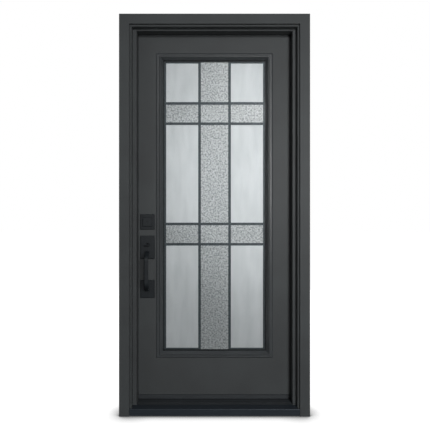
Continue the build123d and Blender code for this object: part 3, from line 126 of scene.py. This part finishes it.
# Finishes by material slot; patterns finer than a few millimetres show only in close views
finishSettings = {
    # Baked enamel on steel: an even satin sheet with a very faint orange peel
    "slab_paint": {
        "name": "bakedEnamelOnSteel",
        "surface": {"Roughness": 0.5, "Specular IOR Level": 0.14},
        "tone": {"size": 260 * mm, "dark": "#3b3d3e", "light": "#404344"},
        "relief": {"size": 3.5 * mm, "detail": 1.0, "height": 0.05 * mm, "strength": 0.25},
    },
    # Sprayed paint on timber: slightly less sheen, with the grain just felt along the length
    "frame_paint": {
        "name": "sprayedPaintOnTimber",
        "surface": {"Roughness": 0.52, "Specular IOR Level": 0.12},
        "tone": {"size": 180 * mm, "dark": "#3b3d3e", "light": "#404344"},
        "relief": {"size": 2.2 * mm, "stretch": (1, 1, 30), "height": 0.06 * mm, "strength": 0.3},
    },
    # Moulded composite, painted: a touch glossier, so that its ridges catch the light
    "moulding_paint": {
        "name": "paintedMoulding",
        "surface": {"Roughness": 0.36, "Specular IOR Level": 0.35},
        "tone": {"size": 200 * mm, "dark": "#393c3e", "light": "#3e4143"},
        "relief": {"size": 3 * mm, "detail": 1.0, "height": 0.04 * mm, "strength": 0.2},
    },
    # Bronze anodised extrusion: dark, with fine draw lines along the sill
    "sill_aluminium": {
        "name": "bronzeAnodisedExtrusion",
        "surface": {"Metallic": 0.3, "Roughness": 0.45, "Specular IOR Level": 0.2},
        "tone": {"size": 1.6 * mm, "stretch": (60, 1, 1), "dark": "#252a30", "light": "#2f353b"},
        "relief": {"size": 0.9 * mm, "stretch": (90, 1, 1), "height": 0.03 * mm, "strength": 0.3},
    },
    # Extruded composite: matt and dark with a fine fibre fleck
    "sill_composite": {
        "name": "extrudedComposite",
        "surface": {"Roughness": 0.75},
        "tone": {"size": 4 * mm, "stretch": (8, 1, 1), "dark": "#1f2122", "light": "#292b2d"},
    },
    # Extruded plastic cap: dark grey, faint streaks along the door
    "threshold_plastic": {
        "name": "extrudedPlasticCap",
        "surface": {"Roughness": 0.55, "Specular IOR Level": 0.3},
        "tone": {"size": 5 * mm, "stretch": (20, 1, 1), "dark": "#24272a", "light": "#2b2f32"},
    },
    # Foam under a urethane skin: matt black with a soft wrinkle
    "seal_foam": {
        "name": "skinnedSealFoam",
        "surface": {"Roughness": 0.7, "Specular IOR Level": 0.3},
        "tone": {"size": 6 * mm, "stretch": (1, 1, 5), "dark": "#111314", "light": "#1a1c1d"},
        "relief": {"size": 5 * mm, "stretch": (1, 1, 4), "height": 0.2 * mm, "strength": 0.3},
    },
    # Satin black plated steel: brushed along the knuckles, worn a little lighter in patches
    "hinge_steel": {
        "name": "satinBlackPlatedSteel",
        "surface": {"Metallic": 0.8, "Roughness": 0.36},
        "tone": {"size": 14 * mm, "dark": "#1c1e20", "light": "#2a2d30"},
        "relief": {"size": 0.8 * mm, "stretch": (1, 1, 25), "height": 0.02 * mm, "strength": 0.3},
    },
    # Zinc plated screws: bright with a cloudy passivation
    "screw_steel": {
        "name": "zincPlatedSteel",
        "surface": {"Metallic": 1.0, "Roughness": 0.32},
        "tone": {"size": 3 * mm, "dark": "#8e9296", "light": "#b3b7ba"},
    },
    # Planed pine: pale straw with darker growth lines along the length
    "core_timber": {
        "name": "planedPine",
        "surface": {"Roughness": 0.62},
        "tone": {"size": 5 * mm, "stretch": (1, 1, 40), "detail": 4.0, "dark": "#b58c55", "light": "#d9b985"},
    },
    # Poured foam: cream, with open cells
    "core_foam": {
        "name": "pouredFoam",
        "surface": {"Roughness": 0.9, "Specular IOR Level": 0.2},
        "tone": {"size": 2.5 * mm, "dark": "#d8c795", "light": "#ece0b8"},
        "relief": {"size": 2 * mm, "height": 0.6 * mm, "strength": 0.6},
    },
    # Clear float glass: nearly unseen, a thin cool veil
    "clear_glass": {
        "name": "clearFloatGlass",
        "surface": {
            "Base Color": toLinear("#1c2424"), "Roughness": 0.05, "Alpha": 0.1, "Specular IOR Level": 0.6
        },
    },
    # Acid-etched glass: a milky sheet that lets soft light through, with faint tall clouds, lighter and
    # darker, in its colour
    "satin_glass": {
        "name": "acidEtchedGlass",
        "surface": {"Roughness": 0.45, "Transmission Weight": 0.5, "Specular IOR Level": 0.3},
        "tone": {"size": 42 * mm, "stretch": (1, 1, 4), "detail": 2.0, "dark": "#cbd1d3", "light": "#dbe0e2"},
    },
    # Granite-rolled glass: pebbled; a cloudy speckle from dark to light grey is painted into its colour as
    # the shade and light of the pebbles, on a pattern of its own apart from the relief
    "granite_glass": {
        "name": "graniteRolledGlass",
        "surface": {"Roughness": 0.32, "Transmission Weight": 0.45, "Specular IOR Level": 0.4},
        "tone": {
            "size": 9 * mm, "detail": 2.0, "dark": "#7d8484", "light": "#d2d7d9", "between": (0.36, 0.62)
        },
    },
    # Patinated zinc came: dark grey metal, softly bright on its crown
    "came_zinc": {
        "name": "patinatedZinc",
        "surface": {"Metallic": 0.35, "Roughness": 0.42, "Specular IOR Level": 0.3},
        "tone": {"size": 12 * mm, "dark": "#3c4347", "light": "#4b5358"},
        "relief": {"size": 1.2 * mm, "height": 0.03 * mm, "strength": 0.2},
    },
    # Black lacquered spacer, roll-formed: a dark band round the glass with a dull sheen
    "spacer_metal": {
        "name": "lacqueredSpacerSteel",
        "surface": {"Metallic": 0.3, "Roughness": 0.5, "Specular IOR Level": 0.3},
        "tone": {"size": 6 * mm, "dark": "#1d2022", "light": "#272b2d"},
    },
    # Satin black powder coat on the furniture: fine texture, soft edge light
    "lock_black": {
        "name": "satinBlackPowderCoat",
        "surface": {"Roughness": 0.42, "Specular IOR Level": 0.2},
        "tone": {"size": 30 * mm, "dark": "#171b1e", "light": "#1d2124"},
        "relief": {"size": 0.7 * mm, "detail": 1.0, "height": 0.02 * mm, "strength": 0.3},
    },
    # Nickel plated lock parts: bright, lightly brushed
    "lock_steel": {
        "name": "nickelPlatedSteel",
        "surface": {"Metallic": 1.0, "Roughness": 0.28},
        "tone": {"size": 2 * mm, "stretch": (1, 1, 12), "dark": "#94918b", "light": "#b5b2ab"},
    },
}
finishes = {slot: makeFinish(**settings) for slot, settings in finishSettings.items()}

# The slab's timber is painted where it shows: paint wherever |x| or z reaches the slab's outer edges
pineSettings = {"paint": "#3b3e3f", "paintDepth": 0.3 * mm}
# sockets of a colour Mix node, by number because its names repeat
mixSockets = {"factor": 0, "first": 6, "second": 7, "result": 2}
tree = finishes["core_timber"].node_tree
shader = tree.nodes["Principled BSDF"]
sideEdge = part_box("hinge_stile")[1][0] - pineSettings["paintDepth"]
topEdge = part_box("top_rail")[1][2] - pineSettings["paintDepth"]
place = addNode(tree, "ShaderNodeTexCoord")
parts = addNode(tree, "ShaderNodeSeparateXYZ", links={"Vector": place.outputs["Object"]})
outward = addNode(tree, "ShaderNodeMath", {"operation": "ABSOLUTE"}, {0: parts.outputs["X"]})
onSide = addNode(
    tree, "ShaderNodeMath", {"operation": "GREATER_THAN", 1: sideEdge}, {0: outward.outputs["Value"]}
)
onTop = addNode(tree, "ShaderNodeMath", {"operation": "GREATER_THAN", 1: topEdge}, {0: parts.outputs["Z"]})
onEdge = addNode(
    tree, "ShaderNodeMath", {"operation": "MAXIMUM"}, {0: onSide.outputs["Value"], 1: onTop.outputs["Value"]}
)
straw = shader.inputs["Base Color"].links[0].from_socket
painted = addNode(
    tree,
    "ShaderNodeMix",
    {"data_type": "RGBA", mixSockets["second"]: toLinear(pineSettings["paint"])},
    {mixSockets["factor"]: onEdge.outputs["Value"], mixSockets["first"]: straw},
)
tree.links.new(painted.outputs[mixSockets["result"]], shader.inputs["Base Color"])

slotOf = {entry["node"]: entry["material_slot"] for entry in record["subparts"]}
for name, node in nodes.items():
    node.data.materials.clear()
    node.data.materials.append(finishes[slotOf[name]])
print("finishes:", len(finishes))


def meshPoints(node):
    # the mesh's points as rows of x, y, z
    points = np.empty(len(node.data.vertices) * 3)
    node.data.vertices.foreach_get("co", points)
    return points.reshape(-1, 3)


def makePiece(name, points, faces, slotName):
    # smooth-shaded object at the origin, from points and four-cornered faces
    mesh = bpy.data.meshes.new(name)
    mesh.from_pydata(points.tolist(), [], faces.tolist())
    mesh.polygons.foreach_set("use_smooth", np.full(len(faces), True))
    mesh.materials.append(finishes[slotName])
    piece = bpy.data.objects.new(name, mesh)
    bpy.context.scene.collection.objects.link(piece)
    return piece


def gridFaces(rows, columns):
    # quads between neighbouring points of a grid stored row after row
    first = (np.arange(rows - 1)[:, None] * columns + np.arange(columns - 1)).ravel()
    return np.stack([first, first + 1, first + columns + 1, first + columns], axis=1)


# Granite panes: rolled relief on both faces, the plain edges kept for the cames' channels
graniteSettings = {
    "pitch": 3.6 * mm,  # spacing of the surface's points
    "hollow": 0.8 * mm,  # depth between the pebbles
    "edge": 7 * mm,  # width over which the relief sets in
    "plainShare": 0.4,  # flat rim before it, as a share of that width
    "waves": 18,
    "short": 8 * mm,  # shortest and longest wave
    "long": 16 * mm,
    "steep": 1.5,  # how sharply pebbles and hollows part
    "backShift": 1.0,  # slides the pattern along x for the back face
    "seed": 7,
}
placeDigits = 5  # corners are told apart to a hundredth of a millimetre
corners = meshPoints(nodes["granite_panes"])
columnEdges = np.unique(corners[:, 0].round(placeDigits)).reshape(-1, 2)
paneBoxes = []
for left, right in columnEdges:
    heights = corners[np.isclose(corners[:, 0], left, atol=mm), 2].round(placeDigits)
    paneBoxes += [(left, right, low, high) for low, high in np.unique(heights).reshape(-1, 2)]
paneFront, paneBack = corners[:, 1].min(), corners[:, 1].max()
dice = np.random.default_rng(graniteSettings["seed"])
turns = dice.uniform(0, 2 * np.pi, graniteSettings["waves"])
lengths = dice.uniform(graniteSettings["short"], graniteSettings["long"], graniteSettings["waves"])
phases = dice.uniform(0, 2 * np.pi, graniteSettings["waves"])


def pebbles(x, z):
    # sum of plane waves with random directions and lengths, squeezed between 0 and 1
    along = x[..., None] * np.cos(turns) + z[..., None] * np.sin(turns)
    total = np.sin(2 * np.pi * along / lengths + phases).sum(axis=-1) / np.sqrt(graniteSettings["waves"])
    return 0.5 + 0.5 * np.tanh(graniteSettings["steep"] * total)


def reliefPane(left, right, low, high):
    # closed pane: each face is a grid sunk by the pebble pattern, which fades out towards the edges
    columns = int((right - left) / graniteSettings["pitch"]) + 1
    rows = int((high - low) / graniteSettings["pitch"]) + 1
    x, z = np.meshgrid(np.linspace(left, right, columns), np.linspace(low, high, rows))
    rim = np.minimum(np.minimum(x - left, right - x), np.minimum(z - low, high - z))
    fade = np.clip(rim / graniteSettings["edge"] - graniteSettings["plainShare"], 0, 1)
    sunk = graniteSettings["hollow"] * fade
    backPebbles = pebbles(x + graniteSettings["backShift"], z)
    front = np.stack([x, paneFront + sunk * pebbles(x, z), z], axis=-1).reshape(-1, 3)
    back = np.stack([x, paneBack - sunk * backPebbles, z], axis=-1).reshape(-1, 3)
    count = rows * columns
    order = np.arange(count).reshape(rows, columns)
    ring = np.concatenate([order[0, :-1], order[:-1, -1], order[-1, :0:-1], order[:0:-1, 0]])
    after = np.roll(ring, -1)
    faces = gridFaces(rows, columns)
    walls = np.stack([after, ring, ring + count, after + count], axis=1)
    return np.concatenate([front, back]), np.concatenate([faces, faces[:, ::-1] + count, walls])


allPoints, allFaces, used = [], [], 0
for box in paneBoxes:
    points, faces = reliefPane(*box)
    allPoints.append(points)
    allFaces.append(faces + used)
    used += len(points)
granitePanes = makePiece("granitePanes", np.concatenate(allPoints), np.concatenate(allFaces), "granite_glass")
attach(granitePanes, "door")
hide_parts("granite_panes")
print("granite panes:", len(paneBoxes), "with", used, "points")

# Solder at the came joints: flat drops on both faces of the lattice
solderSettings = {"radius": 7.5 * mm, "height": 1.5 * mm, "proud": 0.5 * mm, "around": 20, "across": 10}
cameLow, cameHigh = (np.array(v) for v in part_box("came_lattice"))
cameX = (columnEdges[:-1, 1] + columnEdges[1:, 0]) / 2
centreRows = np.array([box[2:] for box in paneBoxes if box[0] == columnEdges[1, 0]])
cameZ = (centreRows[:-1, 1] + centreRows[1:, 0]) / 2
borderX = np.array([columnEdges[0, 0], columnEdges[2, 1]])
jointX, jointZ = (grid.ravel() for grid in np.meshgrid(np.concatenate([cameX, borderX]), cameZ))
# ellipsoid by angle around and angle across, one for each joint and face
anglesAround = np.linspace(0, 2 * np.pi, solderSettings["around"] + 1)
anglesAcross = np.linspace(0, np.pi, solderSettings["across"] + 1)
around, across = np.meshgrid(anglesAround, anglesAcross)
drop = np.stack([np.sin(across) * np.cos(around), np.cos(across), np.sin(across) * np.sin(around)], axis=-1)
drop = drop.reshape(-1, 3) * (solderSettings["radius"], solderSettings["height"], solderSettings["radius"])
depth = solderSettings["height"] - solderSettings["proud"]
faceY = np.repeat([cameLow[1] + depth, cameHigh[1] - depth], len(jointX))
centres = np.stack([np.tile(jointX, 2), faceY, np.tile(jointZ, 2)], axis=1)
dropPoints = (centres[:, None, :] + drop).reshape(-1, 3)
dropFaces = gridFaces(solderSettings["across"] + 1, solderSettings["around"] + 1)
dropFaces = (np.arange(len(centres))[:, None, None] * len(drop) + dropFaces).reshape(-1, 4)
solder = makePiece("solderDrops", dropPoints, dropFaces, "came_zinc")
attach(solder, "door")
print("solder drops:", len(centres))

# Stage: floor that runs out into white and darkens only close under the object
stageSettings = {
    "half": 30.0,
    "floorTone": "#6e6e6e",
    "floorRoughness": 0.9,
    "contact": 0.14,  # reach of the shadow under the object
    "shadowRange": (0.5, 0.98),  # openness at which the floor is darkest and at which it is white
    "shadowSamples": 24,
    "dark": 0.05,
    "ambient": 0.05,
    "gloss": 0.35,  # brightness of the white surroundings in reflections
}
floorMesh = bpy.data.meshes.new("floor")
half = stageSettings["half"]
floorCorners = [(-half, -half, 0), (half, -half, 0), (half, half, 0), (-half, half, 0)]
floorMesh.from_pydata(floorCorners, [], [(0, 1, 2, 3)])
floor = bpy.data.objects.new("floor", floorMesh)
bpy.context.scene.collection.objects.link(floor)
floorSurface = {
    "Base Color": toLinear(stageSettings["floorTone"]),
    "Roughness": stageSettings["floorRoughness"],
}
material = makeFinish("paleFloor", floorSurface)
tree = material.node_tree
path = addNode(tree, "ShaderNodeLightPath")
openness = addNode(
    tree,
    "ShaderNodeAmbientOcclusion",
    {"Distance": stageSettings["contact"], "samples": stageSettings["shadowSamples"]},
)
darkest, whitest = stageSettings["shadowRange"]
lift = addNode(
    tree,
    "ShaderNodeMapRange",
    {"From Min": darkest, "From Max": whitest, "To Min": stageSettings["dark"], "To Max": 1.0},
    {"Value": openness.outputs["AO"]},
)
seen = addNode(
    tree,
    "ShaderNodeMath",
    {"operation": "MULTIPLY"},
    {0: lift.outputs["Result"], 1: path.outputs["Is Camera Ray"]},
)
glow = addNode(tree, "ShaderNodeEmission", links={"Strength": seen.outputs["Value"]})
matt = tree.nodes["Principled BSDF"]
both = addNode(tree, "ShaderNodeAddShader", links={0: matt.outputs["BSDF"], 1: glow.outputs["Emission"]})
tree.links.new(both.outputs["Shader"], tree.nodes["Material Output"].inputs["Surface"])
floorMesh.materials.append(material)

# World: white where it is seen, dimmer in reflections, and only a little light on the object
world = bpy.data.worlds.new("studio")
bpy.context.scene.world = world
world.use_nodes = True
tree = world.node_tree
path = addNode(tree, "ShaderNodeLightPath")
seen = addNode(
    tree,
    "ShaderNodeMath",
    {"operation": "MAXIMUM"},
    {0: path.outputs["Is Camera Ray"], 1: path.outputs["Is Transmission Ray"]},
)
gloss = addNode(
    tree,
    "ShaderNodeMath",
    {"operation": "MULTIPLY", 1: stageSettings["gloss"]},
    {0: path.outputs["Is Glossy Ray"]},
)
shown = addNode(
    tree, "ShaderNodeMath", {"operation": "MAXIMUM"}, {0: seen.outputs["Value"], 1: gloss.outputs["Value"]}
)
strength = addNode(
    tree, "ShaderNodeMath", {"operation": "MAXIMUM", 1: stageSettings["ambient"]}, {0: shown.outputs["Value"]}
)
tree.links.new(strength.outputs["Value"], tree.nodes["Background"].inputs["Strength"])
tree.nodes["Background"].inputs["Color"].default_value = toLinear("#ffffff")

# Lamps: places and targets in metres; the last two light the glass and the inside from behind
lampSettings = {
    "keyLamp": {"place": (2.1, -12.0, 4.0), "target": (0, 0, 1.1), "size": 1.1, "power": 590},
    "sideLamp": {"place": (1.0, -2.4, 1.4), "target": (0.3, 0, 0.7), "size": 0.5, "power": 34},
    "fillLamp": {"place": (-4.5, -4.5, 3.4), "target": (0, 0, 1.1), "size": 2.4, "power": 40},
    "rearLamp": {"place": (1.3, 4.4, 1.65), "target": (0, 0, 0.9), "size": 4.4, "power": 150},
    "backLamp": {"place": (-3.6, 3.4, 2.8), "target": (0.2, 0.4, 1.0), "size": 2.4, "power": 70},
}


def addLamp(name, place, target, size, power):
    # round area lamp at a place, turned to face the target
    lamp = bpy.data.lights.new(name, "AREA")
    lamp.shape = "DISK"
    lamp.size = size
    lamp.energy = power
    holder = bpy.data.objects.new(name, lamp)
    bpy.context.scene.collection.objects.link(holder)
    aim = np.array(target) - np.array(place)
    tilt = math.acos(-aim[2] / np.linalg.norm(aim))
    holder.location = place
    holder.rotation_euler = (tilt, 0, math.atan2(aim[1], aim[0]) - math.pi / 2)
    return holder


key, side, fill, rear, back = (addLamp(name, **settings) for name, settings in lampSettings.items())
for lamp in (side, rear, back):
    lamp.visible_camera = False

# Camera: level, in front of the outside face; viewWidth is what it takes in at the object's front
cameraSettings = {
    "distance": 2800 * mm, "height": 1065 * mm, "side": 2.4 * mm, "viewWidth": 2271.0 * mm, "sensor": 36
}
camera = bpy.data.cameras.new("camera")
camera.sensor_width = cameraSettings["sensor"]
camera.lens = cameraSettings["sensor"] * cameraSettings["distance"] / cameraSettings["viewWidth"]
cameraObject = bpy.data.objects.new("camera", camera)
bpy.context.scene.collection.objects.link(cameraObject)
cameraY = cadBox[0][1] - cameraSettings["distance"]
cameraObject.location = (cameraSettings["side"], cameraY, cameraSettings["height"])
cameraObject.rotation_euler = (math.pi / 2, 0, 0)
bpy.context.scene.camera = cameraObject
bpy.context.scene.view_settings.view_transform = "Standard"
print("stage ready")
